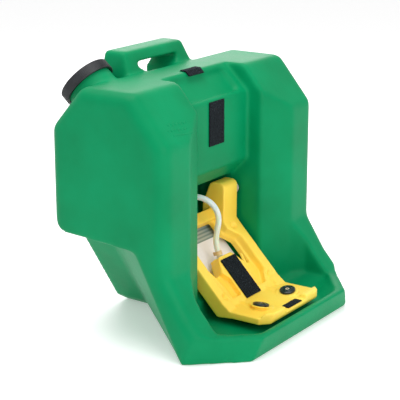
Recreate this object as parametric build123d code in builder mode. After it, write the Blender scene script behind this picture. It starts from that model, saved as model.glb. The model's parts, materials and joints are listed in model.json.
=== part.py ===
"""Portable gravity-fed eyewash station.

A moulded tank with a bowl at its foot, a filler neck with a screw cap, a carrying
handle, and a yellow arm that swings down out of the tank front to start the flow.
X is to the right, +Y to the back and +Z up; the origin is on the floor, on the
centre line. Sizes are in millimetres and angles in degrees.
"""

import os
from math import asin, atan2, cos, degrees, hypot, pi, radians, sin, tan

from build123d import *

os.makedirs("parts", exist_ok=True)

# ---------------------------------------------------------------- driving sizes
# Tank, outside
tank_width = 500.0
tank_height = 458.0
wall = 4.0
rear_y = 47.5               # flat rear face
front_y = -200.0            # front faces of the two wings
top_rear_y = -18.0          # where the flat top meets the rear slope
rear_slope_drop = 75.0
top_front_y = -130.0        # where the flat top meets the wings' front slope
front_slope_drop = 84.0
wing_bottom_z = 186.0       # underside of the wings, at their lower edge
wing_bottom_rise = 10.0     # how much higher the underside is at the rear
wing_front_bottom_z = 144.0
sweep_y = -240.0             # the wings' fronts sweep out to the bowl's rim
sweep_z = 82.0
rim_y = -270.0
rim_z = 48.0
edge_radius = 24.0          # the moulding's outer edges
rear_corner_radius = 36.0   # rear bottom corner of the wings

# Foot of the tank: bowl at the front, sump at the rear
base_side_y = -235.0        # rear end of the bowl's side, at the floor
side_edge_y = -138.0        # the same edge where it meets the wing
sump_crease_y = -25.0
sump_base_half = 55.0
sump_top_half = 180.0
sump_chamfer = 18.0          # bottom edges of the sump
lip_height = 41.0
lip_land = 14.0             # flat top of the lip
lip_undercut = 9.0
lip_gap = 8.0               # arm's front edge to the lip
corner_cut_x = 80.0         # bowl's front corners, cut off in plan, at the floor
rim_cut_x = 107.0           # the same at the lip
rim_side_y = -250.0         # rear end of that cut, at the lip

# Recess between the wings
recess_half = 105.0
recess_mouth_half = 172.0
recess_bend_y = -170.0
face_y = -138.6             # front face of the tank between the wings
face_bottom_z = 280.0
pocket_chamfer = 38.0
back_wall_gap = 70.0        # pivot to the sloping back wall behind the arm
pocket_back_y = -40.0
bowl_floor_z = 24.0
bowl_floor_half = 150.0
bowl_rim_half = 192.0
bowl_side_y = -222.0        # rear end of the bowl's sides, inside
bowl_corner = 42.0          # bowl's front corners, inside, at the floor
rim_corner = 57.0           # the same at the lip
panel_rise = 50.0           # height of the sloping panel above the front face
panel_dish_half = 88.0      # the panel is dished for the nozzles, with the arm up
panel_dish_start = 10.0     # along the panel, from its bend
panel_dish_length = 52.0
panel_dish_depth = 8.0
panel_dish_round = 10.0

# Arm: pivot, reach and clearances
pivot_y = -110.8
pivot_z = 216.4
pad_thickness = 2.5
pad_gap = 0.4               # between the two hook-and-loop faces when the arm is up
plate_rest_z = 50.5         # top of the nozzle plate with the arm down
plate_reach = 86.0          # nozzle plate, from its bend to its front edge
panel_gap = 9.0             # nozzle plate's bend above the panel's bend, arm up

# Arm, moulding
arm_side_gap = 7.6          # arm's side to the recess wall
arm_depth = 58.0            # pivot to the arm's underside
arm_floor = 46.0            # pivot to the floor between the rails
rail_top = 29.5             # pivot to the top of the rails
rail_width = 24.0
ear_width = 47.0
ear_front = 13.2            # pivot to the ear's upright front face, arm down
ear_back = 19.0
ear_top = 20.6
ear_round = 12.0
ear_foot = 48.0             # from the pivot, along the rails
ear_heel = 6.0
rail_step = 16.0            # the rails' end to the nozzle plate's bend
rail_taper = 24.0
crossbar_start = 10.0
crossbar_length = 22.0
crossbar_thickness = 12.0
window_end = 112.0          # from the pivot, along the arm
plate_thickness = 13.0
plate_lip = 8.0             # raised front edge of the nozzle plate
plate_lip_width = 12.0
plate_corner = 20.0
notch_half = 36.0           # gap in the raised front edge, for the front pad
island_half = 27.0
island_start = 104.0        # from the pivot, along the arm
shoulder_width = 12.0
waist_start = 62.0          # where the rails narrow
waist_length = 22.0

# Nozzles
nozzle_x = 47.0
nozzle_back = 46.0          # from the plate's front edge
nozzle_tilt = 12.0          # towards each other
nozzle_radius = 15.0
nozzle_thickness = 5.0
nozzle_boss_height = 3.0
stem_radius = 7.0
stem_length = 13.0
orifice_radius = 1.6

# Pivots
pin_radius = 6.0
pin_depth = 26.0            # in the arm's ear
pin_end_gap = 3.0
pin_play = 0.05             # running fit in the bush
bush_wall = 2.5
bush_length = 14.0
bush_flange = 2.0
boss_wall = 5.0

# Filler neck and cap
neck_x = -157.0
neck_place = 0.41           # share of the rear slope above the neck's axis
neck_radius = 44.0
neck_wall = 5.0
neck_height = 36.0          # above the rear slope
neck_thread = 1.4
cap_play = 0.5
cap_wall = 4.0
cap_height = 19.0
cap_top = 4.0
cap_ribs = 48
cap_rib = 1.0
gasket_thickness = 2.0
vent_radius = 6.0

# Handle
handle_height = 37.0        # above the tank's top
handle_top_half = 91.0
handle_foot_half = 102.0
handle_front_y = 0.0
handle_foot_y = -16.0
grip_half_top = 70.0
grip_half_foot = 37.0
grip_bar = 21.0             # height of the bar over the finger gap
handle_round = 8.0
handle_shoulder = 10.0      # the upright foot ends this far below the top

# Hook-and-loop pads
pad_width = 50.0
front_pad_length = 83.0
top_pad_length = 12.0       # on the top, and again down the panel
arm_pad_length = 86.0
arm_pad_start = 111.0
notch_pad_width = 48.0
notch_pad_length = 16.0

# Outlet and hose
outlet_x = -36.0
outlet_z = 218.0
hose_outer = 11.0
hose_bore = 7.0
flange_radius = 15.0
flange_thickness = 4.0
outlet_stem_radius = 9.0
inlet_x = -5.0
inlet_radius = 6.5
inlet_depth = 16.0
inlet_below = 43.0          # pivot to the inlet's mouth, square to the arm
inlet_tilt = 20.0           # out of the arm's plane, up towards the pads
passage_radius = 3.0
passage_depth = 47.0        # pivot to the passage along the island
label_width = 150.0
label_start = 26.0          # below the pivot, along the back wall
label_length = 150.0
label_thickness = 0.6
clamp_width = 7.0
gasket_seat = 1.5
nut_height = 8.0
barb_length = 12.0
inlet_collar = 3.0
fitting_bore = 2.2
clamp_thickness = 1.2
clamp_back = 3.0            # clamp to the fitting's shoulder

# ------------------------------------------------------------- worked-out places
side_half = tank_width / 2
pad_plane = pivot_y - face_y + pad_thickness + pad_gap  # arm's pad face, below the pivot
panel_z = tank_height - panel_rise                      # bend between face and sloping panel
arm_reach = panel_z + panel_gap - pivot_z               # pivot to the nozzle plate's bend
arm_radius = hypot(arm_reach, pad_plane)
# The arm turns about X. Down, it rests with the nozzle plate level at plate_rest_z.
rest_slope = asin((pivot_z - plate_rest_z) / arm_radius) - atan2(pad_plane, arm_reach)
swing = 90.0 + degrees(rest_slope)
plate_bend_y = pivot_y - arm_radius * cos(rest_slope + atan2(pad_plane, arm_reach))
plate_front_y = plate_bend_y - plate_reach
lip_y = plate_front_y - lip_gap - lip_land
panel_angle = 180 - swing                               # the panel's slope, from level
panel_plane = Plane(
    (0, face_y, panel_z),
    x_dir=(1, 0, 0),
    z_dir=(0, -sin(radians(panel_angle)), cos(radians(panel_angle))),
)
print("arm: swing", round(swing, 1), "bend y", round(plate_bend_y, 1), "lip y", round(lip_y, 1))


# ------------------------------------------------------------------------- tank
def lean(low, high, z):
    """Value at height z of an edge that leans from low, at the floor, to high at the wings."""
    return low + (high - low) * z / wing_bottom_z


def undercut_form(inset):
    """What the foot leaves out under one wing, from the bowl's side back to the sump."""
    far = side_half + 150
    back = rear_y + 80
    with BuildPart() as form:
        for z, narrower in ((-sump_chamfer, 2 * sump_chamfer), (sump_chamfer, 0), (1.4 * wing_bottom_z, 0)):
            with BuildSketch(Plane.XY.offset(z)):
                with BuildLine():
                    side_y = lean(base_side_y, side_edge_y, z)
                    crease_x = lean(sump_base_half, sump_top_half, z) - narrower
                    Polyline(
                        (far, side_y - 135),
                        (side_half, side_y),
                        (crease_x, sump_crease_y),
                        (crease_x - 4, back),
                        (far, back),
                        close=True,
                    )
                make_face()
                if inset:
                    offset(amount=inset, kind=Kind.INTERSECTION, mode=Mode.REPLACE)
        loft(ruled=True)
        with BuildSketch(Plane.YZ) as underside:
            corner = (rear_y, wing_bottom_z + wing_bottom_rise)
            with BuildLine():
                Polyline(
                    (back, -40),
                    (back, 2 * wing_bottom_z),
                    (rear_y, 2 * wing_bottom_z),
                    corner,
                    (side_edge_y, wing_bottom_z - 2),
                    (lip_y, wing_bottom_z - 14),
                    (lip_y, -40),
                    close=True,
                )
            make_face()
            if inset:
                offset(amount=inset, kind=Kind.INTERSECTION, mode=Mode.REPLACE)
            inner_corner = underside.vertices().sort_by_distance(Vertex(*corner, 0))[0]
            fillet(inner_corner, rear_corner_radius - inset)
        extrude(amount=2 * side_half, both=True, mode=Mode.INTERSECT)
    return form.part


def corner_cut_form(inset):
    """What the bowl's front corner leaves out on one side; it leans out towards the lip."""
    far = 300
    at_floor = (0, base_side_y, corner_cut_x, lip_y + lip_undercut)
    above_lip = (
        2 * lip_height,
        2 * rim_side_y - base_side_y,
        2 * rim_cut_x - corner_cut_x,
        lip_y - lip_undercut,
    )
    with BuildPart() as form:
        for z, start_y, cut_x, end_y in (at_floor, above_lip):
            along = Vector(-cut_x, end_y - start_y).normalized() * far
            with BuildSketch(Plane.XY.offset(z)):
                with BuildLine():
                    Polyline(
                        (side_half, start_y),
                        (side_half + along.X, start_y + along.Y),
                        (side_half + far, start_y + along.Y),
                        (side_half + far, start_y),
                        close=True,
                    )
                make_face()
                if inset:
                    offset(amount=inset, kind=Kind.INTERSECTION, mode=Mode.REPLACE)
        loft(ruled=True)
    return form.part


def outer_form(inset):
    """The tank's outside as one solid, before its recess and bowl, drawn in by inset."""
    rounding = edge_radius - inset
    with BuildPart() as form:
        with BuildSketch(Plane.YZ):
            with BuildLine():
                Polyline(
                    (rear_y, 0),
                    (rear_y, tank_height - rear_slope_drop),
                    (top_rear_y, tank_height),
                    (top_front_y, tank_height),
                    (front_y, tank_height - front_slope_drop),
                    (front_y, wing_front_bottom_z),
                    (sweep_y, sweep_z),
                    (rim_y, rim_z),
                    (lip_y, lip_height),
                    (lip_y + lip_undercut, 0),
                    close=True,
                )
            make_face()
            if inset:
                offset(amount=-inset, kind=Kind.INTERSECTION, mode=Mode.REPLACE)
        extrude(amount=side_half - inset, both=True)
        across = form.edges().filter_by(Axis.X)
        fillet(across.filter_by(lambda edge: edge.center().Z > lip_height - inset + 2), rounding)
        around_sides = form.faces().filter_by(Axis.X).edges()
        fillet(around_sides.filter_by(lambda edge: edge.center().Z > lip_height - inset), rounding)
        for cut in (undercut_form(inset), corner_cut_form(inset)):
            add(cut, mode=Mode.SUBTRACT)
            mirror(cut, about=Plane.YZ, mode=Mode.SUBTRACT)
    return form.part


def recess_form(inset):
    """The space between the wings with the bowl below it, grown by inset."""
    above = 1.2 * tank_height
    panel_run = panel_rise / tan(radians(panel_angle))
    # the back wall runs parallel to the resting arm, from the pocket down to the bowl's floor
    floor_s = (pivot_z - back_wall_gap * cos(rest_slope) - bowl_floor_z) / sin(rest_slope)
    floor_y = pivot_y - floor_s * cos(rest_slope) + back_wall_gap * sin(rest_slope)
    pocket_s = (pivot_y + back_wall_gap * sin(rest_slope) - pocket_back_y) / cos(rest_slope)
    pocket_z = pivot_z - back_wall_gap * cos(rest_slope) - pocket_s * sin(rest_slope)
    lip_inner_y = lip_y + lip_land
    floor_front_y = lip_inner_y + lip_height - bowl_floor_z
    with BuildPart() as form:
        # the panel's dish, then the middle, seen from the side
        with BuildSketch(panel_plane.offset(-panel_dish_depth - inset)):
            with Locations((0, panel_dish_start + panel_dish_length / 2)):
                RectangleRounded(
                    2 * (panel_dish_half + inset),
                    panel_dish_length + 2 * inset,
                    panel_dish_round,
                )
        extrude(amount=2 * panel_dish_depth + inset)
        with BuildSketch(Plane.YZ):
            with BuildLine():
                Polyline(
                    (face_y + 3 * panel_run, panel_z + 3 * panel_rise),
                    (face_y, panel_z),
                    (face_y, face_bottom_z),
                    (face_y + pocket_chamfer, face_bottom_z - pocket_chamfer),
                    (pocket_back_y, face_bottom_z - pocket_chamfer),
                    (pocket_back_y, pocket_z),
                    (floor_y, bowl_floor_z),
                    (floor_front_y, bowl_floor_z),
                    (lip_inner_y, lip_height),
                    (lip_inner_y, panel_z + 3 * panel_rise),
                    close=True,
                )
            make_face()
            if inset:
                offset(amount=inset, kind=Kind.INTERSECTION, mode=Mode.REPLACE)
        extrude(amount=recess_half + inset, both=True)
        # the bowl, wider than the recess and sloping outwards up to its rim
        bowl_floor = (bowl_floor_z - inset, bowl_floor_half, bowl_floor_half, floor_front_y, bowl_corner)
        bowl_rim = (lip_height, recess_mouth_half, bowl_rim_half, lip_inner_y, rim_corner)
        for z, mouth_x, side_x, ahead_y, corner in (bowl_floor, bowl_rim):
            with BuildSketch(Plane.XY.offset(z)) as outline:
                with BuildLine():
                    half = Polyline(
                        (recess_half, recess_bend_y),
                        (mouth_x, front_y),
                        (side_x, bowl_side_y),
                        (side_x, rim_y),
                        (side_x - corner, ahead_y),
                        (0, ahead_y),
                    )
                    mirror(half, about=Plane.YZ)
                    Line((recess_half, recess_bend_y), (-recess_half, recess_bend_y))
                make_face()
                if inset:
                    offset(amount=inset, kind=Kind.INTERSECTION, mode=Mode.REPLACE)
        loft(ruled=True)
        # the wings' inner faces, straight up from the rim
        extrude(to_extrude=outline.sketch, amount=above)
    return form.part


def handle_form():
    """The carrying handle, standing on the top and the rear slope."""
    top_z = tank_height + handle_height
    foot_z = tank_height - 1.2 * rear_slope_drop
    shoulder_z = tank_height - handle_shoulder
    with BuildPart() as form:
        with BuildSketch(Plane.YZ):
            with BuildLine():
                Polyline(
                    (rear_y, foot_z),
                    (rear_y, top_z),
                    (handle_front_y, top_z),
                    (handle_foot_y, tank_height),
                    (handle_foot_y, foot_z),
                    close=True,
                )
            make_face()
        extrude(amount=handle_foot_half, both=True)
        with BuildSketch(Plane.XZ):
            with BuildLine():
                Polyline(
                    (-handle_foot_half, foot_z),
                    (-handle_foot_half, shoulder_z),
                    (-handle_top_half, top_z),
                    (handle_top_half, top_z),
                    (handle_foot_half, shoulder_z),
                    (handle_foot_half, foot_z),
                    close=True,
                )
            make_face()
        extrude(amount=side_half, both=True, mode=Mode.INTERSECT)
        fillet(form.edges().filter_by(lambda edge: edge.center().Z > tank_height), handle_round)
        with BuildSketch(Plane.XZ):
            with BuildLine():
                Polyline(
                    (-grip_half_foot, foot_z),
                    (-grip_half_foot, shoulder_z),
                    (-grip_half_top, top_z - grip_bar),
                    (grip_half_top, top_z - grip_bar),
                    (grip_half_foot, shoulder_z),
                    (grip_half_foot, foot_z),
                    close=True,
                )
            make_face()
        extrude(amount=side_half, both=True, mode=Mode.SUBTRACT)
    return form.part


# rear slope, and the neck that stands square to it
slope_run = rear_y - top_rear_y
neck_base = Vector(neck_x, top_rear_y + neck_place * slope_run, tank_height - neck_place * rear_slope_drop)
neck_axis = Vector(0, rear_slope_drop, slope_run).normalized()
neck_plane = Plane(neck_base, x_dir=(1, 0, 0), z_dir=neck_axis)
neck_bore = neck_radius - neck_wall

arm_plane = Plane(
    (0, pivot_y, pivot_z),
    x_dir=(0, -cos(rest_slope), -sin(rest_slope)),
    z_dir=(-1, 0, 0),
)


def in_arm(y, z):
    """A point of the YZ plane, along and above the arm."""
    local = arm_plane.to_local_coords(Vector(0, y, z))
    return (local.X, local.Y)


def arm_level(below):
    """Plane of the arm's plan view, a distance below the pivot; +Y is up the arm."""
    origin = arm_plane.from_local_coords((0, -below, 0))
    return Plane(origin, x_dir=(1, 0, 0), z_dir=arm_plane.y_dir)


bush_outer = pin_radius + bush_wall
outlet_plane = Plane((outlet_x, pocket_back_y, outlet_z), x_dir=(1, 0, 0), z_dir=(0, -1, 0))

tank_outside = outer_form(0)
tank_inside = outer_form(wall)
recess = recess_form(0)
recess_skin = recess_form(wall)
handle = handle_form()

with BuildPart() as neck_core:
    with BuildSketch(neck_plane.offset(-2 * wall)):
        Circle(neck_radius)
    extrude(amount=2 * wall + neck_height)
    with BuildSketch(neck_plane.offset(neck_height - 9)):
        Circle(neck_radius + neck_thread)
    extrude(amount=3)

with BuildPart() as tank_void:
    add(tank_inside)
    add(recess_skin, mode=Mode.SUBTRACT)
    for side in (1, -1):
        with BuildSketch(Plane.YZ.offset(side * recess_half)):
            with Locations((pivot_y, pivot_z)):
                Circle(bush_outer + boss_wall)
        extrude(amount=side * (bush_length + wall), mode=Mode.SUBTRACT)

with BuildPart() as tank_shell:
    add(tank_outside)
    add(recess, mode=Mode.SUBTRACT)
    add(handle)
    add(neck_core.part)
    add(tank_void.part, mode=Mode.SUBTRACT)
    with BuildSketch(neck_plane.offset(-3 * wall)):
        Circle(neck_bore)
    extrude(amount=3 * wall + neck_height, mode=Mode.SUBTRACT)
    for side in (1, -1):
        with BuildSketch(Plane.YZ.offset(side * recess_half)):
            with Locations((pivot_y, pivot_z)):
                Circle(bush_outer)
        extrude(amount=side * bush_length, mode=Mode.SUBTRACT)
    with BuildSketch(outlet_plane.offset(-2 * wall)):
        Circle(outlet_stem_radius)
    extrude(amount=3 * wall, mode=Mode.SUBTRACT)

# --------------------------------------------------------------------- arm pivots
def pivot_bush(side):
    """Flanged bush in the recess wall."""
    with BuildPart() as bush:
        with BuildSketch(Plane.YZ.offset(side * (recess_half - bush_flange))):
            with Locations((pivot_y, pivot_z)):
                Circle(bush_outer + 2)
        extrude(amount=side * bush_flange)
        with BuildSketch(Plane.YZ.offset(side * recess_half)):
            with Locations((pivot_y, pivot_z)):
                Circle(bush_outer)
        extrude(amount=side * bush_length)
        with BuildSketch(Plane.YZ.offset(side * (recess_half - bush_flange))):
            with Locations((pivot_y, pivot_z)):
                Circle(pin_radius)
        extrude(amount=side * (bush_flange + bush_length - 2), mode=Mode.SUBTRACT)
    return bush.part


arm_half = recess_half - arm_side_gap


def pivot_pin(side):
    """Plain pin, pressed into the arm's ear and turning in the bush."""
    inner = arm_half - pin_depth
    reach = recess_half + bush_length - bush_flange - pin_end_gap - inner
    with BuildPart() as pin:
        with BuildSketch(Plane.YZ.offset(side * inner)):
            with Locations((pivot_y, pivot_z)):
                Circle(pin_radius - pin_play)
        extrude(amount=side * reach)
        chamfer(pin.edges().filter_by(GeomType.CIRCLE), 1)
    return pin.part


# ---------------------------------------------------------------------------- arm
island_top = pad_plane + pad_thickness
nozzle_y = plate_front_y + nozzle_back
rail_end = arm_reach - rail_step

def nozzle_plane(side):
    """Plane of a nozzle disc's underside, tilted towards the middle."""
    seat = Vector(side * nozzle_x, nozzle_y, plate_rest_z + nozzle_boss_height + 1)
    tilt = radians(nozzle_tilt)
    return Plane(seat, x_dir=(cos(tilt), 0, side * sin(tilt)), z_dir=(-side * sin(tilt), 0, cos(tilt)))


# the hose's socket, in the upper end of the island
inlet_slope = rest_slope + radians(inlet_tilt)
inlet_plane = Plane(
    arm_plane.from_local_coords((island_start, -inlet_below, -inlet_x)),
    x_dir=(1, 0, 0),
    z_dir=(0, cos(inlet_slope), sin(inlet_slope)),
)

ear_corners = [
    in_arm(pivot_y - ear_front, pivot_z + ear_top),
    in_arm(pivot_y + ear_back, pivot_z + ear_top),
]

with BuildPart() as arm_shell:
    with BuildSketch(arm_plane) as arm_side:
        with BuildLine():
            Polyline(
                (-ear_heel, -arm_depth + 2 * ear_heel),
                (ear_heel, -arm_depth),
                (arm_reach - 4, -arm_depth),
                in_arm(plate_bend_y - 8, plate_rest_z - plate_thickness),
                in_arm(plate_front_y + 5, plate_rest_z - plate_thickness),
                in_arm(plate_front_y, plate_rest_z - plate_thickness / 2),
                in_arm(plate_front_y, plate_rest_z + plate_lip),
                in_arm(plate_front_y + plate_lip_width, plate_rest_z + plate_lip),
                in_arm(plate_front_y + plate_lip_width + 6, plate_rest_z),
                in_arm(plate_bend_y - 6, plate_rest_z),
                (rail_end, -rail_top),
                (ear_foot, -rail_top),
                ear_corners[0],
                ear_corners[1],
                close=True,
            )
        make_face()
        for corner in ear_corners:
            fillet(arm_side.vertices().sort_by_distance(Vertex(*corner, 0))[0], ear_round)
    extrude(amount=arm_half, both=True)
    # between the ears, then between the rails
    with BuildSketch(arm_level(2 * arm_depth)):
        with BuildLine():
            inner = arm_half - ear_width
            Polyline(
                (-inner, -crossbar_start),
                (-inner, 2 * arm_depth),
                (inner, 2 * arm_depth),
                (inner, -crossbar_start),
                close=True,
            )
        make_face()
    extrude(amount=4 * arm_depth, mode=Mode.SUBTRACT)
    with BuildSketch(arm_level(arm_floor)):
        with BuildLine():
            rail_inner = arm_half - rail_width
            Polyline(
                (-inner, -crossbar_start),
                (-inner, -waist_start),
                (-rail_inner, -waist_start - waist_length),
                (-rail_inner, -rail_end + rail_taper),
                (-rail_inner + rail_step, -rail_end),
                (rail_inner - rail_step, -rail_end),
                (rail_inner, -rail_end + rail_taper),
                (rail_inner, -waist_start - waist_length),
                (inner, -waist_start),
                (inner, -crossbar_start),
                close=True,
            )
        make_face()
    extrude(amount=2 * arm_floor, mode=Mode.SUBTRACT)
    # level ground for the pads: over the island and the nozzle plate
    bend_s = (pivot_z - plate_rest_z - island_top * cos(rest_slope)) / sin(rest_slope)
    with BuildSketch(arm_plane):
        with BuildLine():
            Polyline(
                (island_start, 0),
                (island_start, -island_top),
                (bend_s, -island_top),
                in_arm(plate_bend_y - 30, plate_rest_z),
                in_arm(plate_bend_y - 30, plate_rest_z + 60),
                close=True,
            )
        make_face()
    extrude(amount=rail_inner, both=True, mode=Mode.SUBTRACT)
    # window through the floor
    with BuildSketch(arm_level(2 * arm_depth)):
        with BuildLine():
            edge = rail_inner - 4
            Polyline(
                (-inner + 4, -crossbar_start - crossbar_length),
                (inner - 4, -crossbar_start - crossbar_length),
                (inner - 4, -waist_start),
                (edge, -waist_start - waist_length),
                (edge, -window_end - 22),
                (island_half + 4, -window_end - 22),
                (island_half - 6, -island_start + 2),
                (-island_half + 6, -island_start + 2),
                (-island_half - 4, -window_end - 22),
                (-edge, -window_end - 22),
                (-edge, -waist_start - waist_length),
                (-inner + 4, -waist_start),
                close=True,
            )
        make_face()
    extrude(amount=2 * arm_depth, mode=Mode.SUBTRACT)
    # crossbar and the pad's island
    with BuildSketch(arm_level(arm_floor)):
        with Locations((0, -crossbar_start)):
            Rectangle(2 * inner, crossbar_length, align=(Align.CENTER, Align.MAX))
    extrude(amount=crossbar_thickness)
    with BuildSketch(arm_level(arm_depth)):
        with BuildLine():
            Polyline(
                (-island_half + 8, -island_start),
                (island_half - 8, -island_start),
                (island_half, -island_start - 8),
                (island_half + shoulder_width, -island_start - 30),
                (island_half, -island_start - 46),
                (island_half, -arm_reach + 3),
                (-island_half, -arm_reach + 3),
                (-island_half, -island_start - 46),
                (-island_half - shoulder_width, -island_start - 30),
                (-island_half, -island_start - 8),
                close=True,
            )
        make_face()
    extrude(amount=arm_depth - island_top)
    # notch for the front pad
    with BuildSketch(Plane.XY.offset(plate_rest_z)):
        with Locations((0, plate_front_y)):
            Rectangle(2 * notch_half, 2 * plate_lip_width + 16)
    extrude(amount=2 * plate_lip, mode=Mode.SUBTRACT)
    # pin holes, nozzle bosses and their bores
    for side in (1, -1):
        with BuildSketch(Plane.YZ.offset(side * arm_half)):
            with Locations((pivot_y, pivot_z)):
                Circle(pin_radius - pin_play)
        extrude(amount=-side * pin_depth, mode=Mode.SUBTRACT)
        with BuildSketch(nozzle_plane(side).offset(-nozzle_boss_height - 2)):
            Circle(nozzle_radius + 1)
        extrude(amount=nozzle_boss_height + 2)
        with BuildSketch(nozzle_plane(side).offset(-2 * plate_thickness)):
            Circle(stem_radius)
        extrude(amount=3 * plate_thickness, mode=Mode.SUBTRACT)
    # socket of the inlet fitting, and the water passages inside the moulding
    with BuildSketch(inlet_plane.offset(-inlet_depth)):
        Circle(inlet_radius)
    extrude(amount=inlet_depth + inlet_radius, mode=Mode.SUBTRACT)
    passage_end = arm_plane.from_local_coords((arm_reach - 6, -passage_depth, -inlet_x))
    with BuildSketch(Plane(passage_end, z_dir=-arm_plane.x_dir)):
        Circle(passage_radius)
    extrude(amount=arm_reach - 6 - island_start - 0.7 * inlet_depth, mode=Mode.SUBTRACT)
    with BuildSketch(Plane((inlet_x, nozzle_y - passage_radius, passage_end.Z), z_dir=(0, 1, 0))):
        Rectangle(2 * passage_radius, 2 * passage_radius)
    extrude(amount=passage_end.Y + passage_radius - nozzle_y, mode=Mode.SUBTRACT)
    with BuildSketch(Plane((0, nozzle_y, passage_end.Z), z_dir=(1, 0, 0))):
        Circle(passage_radius)
    extrude(amount=nozzle_x, both=True, mode=Mode.SUBTRACT)
    # front corners
    vertical = arm_shell.edges().filter_by(Axis.Z).filter_by(
        lambda e: e.center().Y < plate_front_y + 1 and abs(e.center().X) > arm_half - 1
    )
    chamfer(vertical, plate_corner)


def nozzle_head(side):
    """Black disc with a small hole, clipped on its stem."""
    with BuildPart() as head:
        with BuildSketch(nozzle_plane(side)):
            Circle(nozzle_radius)
        extrude(amount=nozzle_thickness)
        fillet(head.edges().filter_by(GeomType.CIRCLE), 1.6)
        with BuildSketch(nozzle_plane(side).offset(-1)):
            Circle(orifice_radius)
        extrude(amount=nozzle_thickness + 2, mode=Mode.SUBTRACT)
    return head.part


def nozzle_stem(side):
    """Hollow stem under the disc, through the nozzle plate."""
    with BuildPart() as stem:
        with BuildSketch(nozzle_plane(side)):
            Circle(stem_radius)
            Circle(stem_radius - 2.5, mode=Mode.SUBTRACT)
        extrude(amount=-stem_length)
    return stem.part


def pad(plane, width, length, thickness=pad_thickness):
    """A flat piece of hook-and-loop tape lying on a plane."""
    with BuildPart() as tape:
        with BuildSketch(plane):
            RectangleRounded(width, length, 1.5)
        extrude(amount=thickness)
    return tape.part


# ---------------------------------------------------------------------- small parts
cap_inner = neck_radius + neck_thread + cap_play
cap_outer = cap_inner + cap_wall
cap_base = neck_height + gasket_thickness + cap_top - cap_height

with BuildPart() as fill_cap:
    with BuildSketch(neck_plane.offset(cap_base)):
        Circle(cap_outer)
    extrude(amount=cap_height)
    fillet(fill_cap.faces().sort_by(Axis(neck_base, neck_axis))[-1].edges(), 2)
    with BuildSketch(neck_plane.offset(cap_base)):
        with PolarLocations(cap_outer, cap_ribs):
            Circle(cap_rib)
    extrude(amount=cap_height - 4)
    with BuildSketch(neck_plane.offset(cap_base)):
        Circle(cap_inner)
    extrude(amount=cap_height - cap_top, mode=Mode.SUBTRACT)
    with BuildSketch(neck_plane.offset(cap_base)):
        Circle(vent_radius)
    extrude(amount=2 * cap_height, mode=Mode.SUBTRACT)

with BuildPart() as cap_gasket:
    with BuildSketch(neck_plane.offset(neck_height)):
        Circle(neck_radius)
        Circle(neck_bore, mode=Mode.SUBTRACT)
    extrude(amount=gasket_thickness)

with BuildPart() as cap_vent:
    with BuildSketch(neck_plane.offset(cap_base + cap_height - cap_top - 2)):
        Circle(vent_radius + 3)
        Circle(1.5, mode=Mode.SUBTRACT)
    extrude(amount=2)
    with BuildSketch(neck_plane.offset(cap_base + cap_height - cap_top)):
        Circle(vent_radius)
        Circle(1.5, mode=Mode.SUBTRACT)
    extrude(amount=cap_top)

# outlet: flanged fitting through the pocket's back wall, with its seal, nut and screen
barb_radius = hose_bore / 2
with BuildPart() as outlet_fitting:
    with BuildSketch(outlet_plane.offset(gasket_seat)):
        Circle(flange_radius)
    extrude(amount=flange_thickness)
    with BuildSketch(outlet_plane.offset(gasket_seat)):
        Circle(outlet_stem_radius - 0.2)
    extrude(amount=-(wall + gasket_seat + nut_height + 4))
    with BuildSketch(outlet_plane.offset(gasket_seat + flange_thickness)):
        Circle(barb_radius)
    extrude(amount=barb_length)
    with BuildSketch(outlet_plane.offset(-30)):
        Circle(fitting_bore)
    extrude(amount=80, mode=Mode.SUBTRACT)

with BuildPart() as outlet_gasket:
    with BuildSketch(outlet_plane):
        Circle(flange_radius)
        Circle(outlet_stem_radius, mode=Mode.SUBTRACT)
    extrude(amount=gasket_seat)

with BuildPart() as outlet_nut:
    with BuildSketch(outlet_plane.offset(-wall)):
        RegularPolygon(flange_radius, 6)
        Circle(outlet_stem_radius - 0.2, mode=Mode.SUBTRACT)
    extrude(amount=-nut_height)

with BuildPart() as outlet_screen:
    with BuildSketch(outlet_plane.offset(-wall - nut_height - 4)):
        Circle(outlet_stem_radius + 2)
        with GridLocations(4, 4, 4, 4):
            Circle(1.2, mode=Mode.SUBTRACT)
    extrude(amount=-3)

# inlet fitting on the arm
with BuildPart() as inlet_fitting:
    with BuildSketch(inlet_plane.offset(-inlet_depth)):
        Circle(inlet_radius - 0.1)
    extrude(amount=inlet_depth + inlet_collar)
    with BuildSketch(inlet_plane.offset(inlet_collar)):
        Circle(barb_radius)
    extrude(amount=barb_length)
    with BuildSketch(inlet_plane.offset(-inlet_depth - 1)):
        Circle(fitting_bore)
    extrude(amount=inlet_depth + 40, mode=Mode.SUBTRACT)

# feed hose, from the outlet's flange over the crossbar and down to the arm
hose_start = outlet_plane.from_local_coords((0, 0, gasket_seat + flange_thickness))
hose_end = inlet_plane.from_local_coords((0, 0, inlet_collar))
hose_route = [
    hose_start,
    Vector(outlet_x, -66, outlet_z),
    Vector(-35, -87, 222.5),
    Vector(-31.5, -106.5, 230),
    Vector(-25, -125.5, 228.5),
    Vector(-17, -140.5, 218.5),
    Vector(-10, -149, 202),
    Vector(-6.5, -150, 182.5),
    Vector(-6, -144, 160),
    inlet_plane.from_local_coords((0, 0, inlet_collar + 24)),
    hose_end,
]


def bend_radii(route):
    """The largest arc that each corner of a hose's route leaves room for."""
    radii = []
    for before, corner, after in zip(route, route[1:], route[2:]):
        turn = (corner - before).get_angle(after - corner)
        shorter = min((corner - before).length, (after - corner).length)
        radii.append(0.45 * shorter / tan(radians(turn) / 2))
    return radii


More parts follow.
